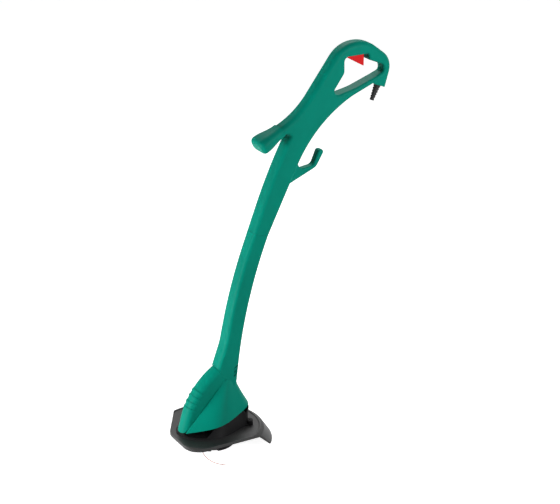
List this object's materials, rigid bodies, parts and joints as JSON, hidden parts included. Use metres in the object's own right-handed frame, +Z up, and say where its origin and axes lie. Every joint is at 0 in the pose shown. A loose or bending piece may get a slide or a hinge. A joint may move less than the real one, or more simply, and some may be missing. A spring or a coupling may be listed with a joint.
{
  "type": "string trimmer",
  "caption": "Corded electric string trimmer: curved two-part shaft, loop handle with trigger, palm rest, motor head with shield guard and spool head that feeds line when tapped.",
  "frame": {"origin": "centre of the flat underside of the tap button, on the spindle axis", "axes": "+Z up along the spindle axis, +X back to the operator, +Y to the operator's right"},
  "size_m": [0.5461, 0.2565, 0.881],
  "materials": {
    "green_plastic": "satin moulded plastic, teal green",
    "grey_plastic": "satin moulded plastic, dark grey",
    "black_plastic": "satin moulded plastic, black",
    "red_plastic": "satin moulded plastic, red",
    "cream_plastic": "moulded case",
    "black_rubber": "matt rubber",
    "steel": "zinc plated",
    "blade_steel": "ground",
    "core_iron": "varnished laminations",
    "copper": "enamelled copper",
    "carbon": "pressed carbon",
    "nylon_line": "monofilament, reddish brown"
  },
  "bodies": {
    "housing": {"handle_shell_left": "green_plastic", "handle_shell_right": "green_plastic", "handle_screws": "steel", "front_grip": "green_plastic", "trigger_pin": "steel", "trigger_spring": "steel", "switch_body": "black_plastic", "cord_boot": "black_rubber", "cord_clamp": "black_plastic", "cord_clamp_screws": "steel", "shaft_sleeve": "black_plastic", "sleeve_screws": "steel", "motor_lead": "black_rubber", "head_shell_left": "green_plastic", "head_shell_right": "green_plastic", "head_screws": "steel", "base_screws": "steel", "nose_cover": "green_plastic", "capacitor": "cream_plastic", "motor_base": "black_plastic", "guard": "grey_plastic", "guard_screws": "steel", "line_cutter": "blade_steel", "cutter_screws": "steel", "motor_frame": "black_plastic", "stator_core": "core_iron", "field_coils": "copper", "bearing_bridge": "black_plastic", "upper_bearing": "blade_steel", "lower_bearing": "blade_steel", "brush_holders": "copper", "brushes": "carbon", "brush_springs": "steel"},
    "trigger": {"trigger": "red_plastic"},
    "plunger": {"switch_plunger": "black_plastic"},
    "spindle": {"motor_shaft": "blade_steel", "rotor_core": "core_iron", "commutator": "copper", "cooling_fan": "black_plastic", "drive_hub": "blade_steel", "spool_drum": "black_plastic", "line_eyelet": "blade_steel", "spool_cap": "black_plastic", "cutting_line": "nylon_line", "spool_spring": "steel"},
    "tap": {"tap_button": "black_plastic"},
    "spool": {"spool": "grey_plastic", "line_winding": "nylon_line"}
  },
  "joints": [
    {"name": "trigger_pivot", "type": "hinge", "parent": "housing", "child": "trigger", "pos_m": [0.339, 0, 0.86], "axis": [0, -1, 0], "range_deg": [0, 8], "stiffness_Nm_per_rad": 0.4, "springref_deg": -14.32, "deforming": ["trigger_spring"]},
    {"name": "plunger_slide", "type": "slide", "parent": "housing", "child": "plunger", "axis": [0, 0, 1], "range_m": [0, 0.003]},
    {"name": "spindle_spin", "type": "hinge", "parent": "housing", "child": "spindle", "pos_m": [0, 0, 0.05], "axis": [0, 0, 1], "continuous": true},
    {"name": "tap_slide", "type": "slide", "parent": "spindle", "child": "tap", "axis": [0, 0, 1], "range_m": [0, 0.0032], "stiffness_N_per_m": 6000, "springref_m": -0.005, "deforming": ["spool_spring"]},
    {"name": "spool_feed", "type": "hinge", "parent": "tap", "child": "spool", "pos_m": [0, 0, 0.016], "axis": [0, 0, 1], "continuous": true}
  ],
  "couplings": [
    {"joint": "plunger_slide", "follows": "trigger_pivot", "m_per_rad": 0.0204}
  ]
}
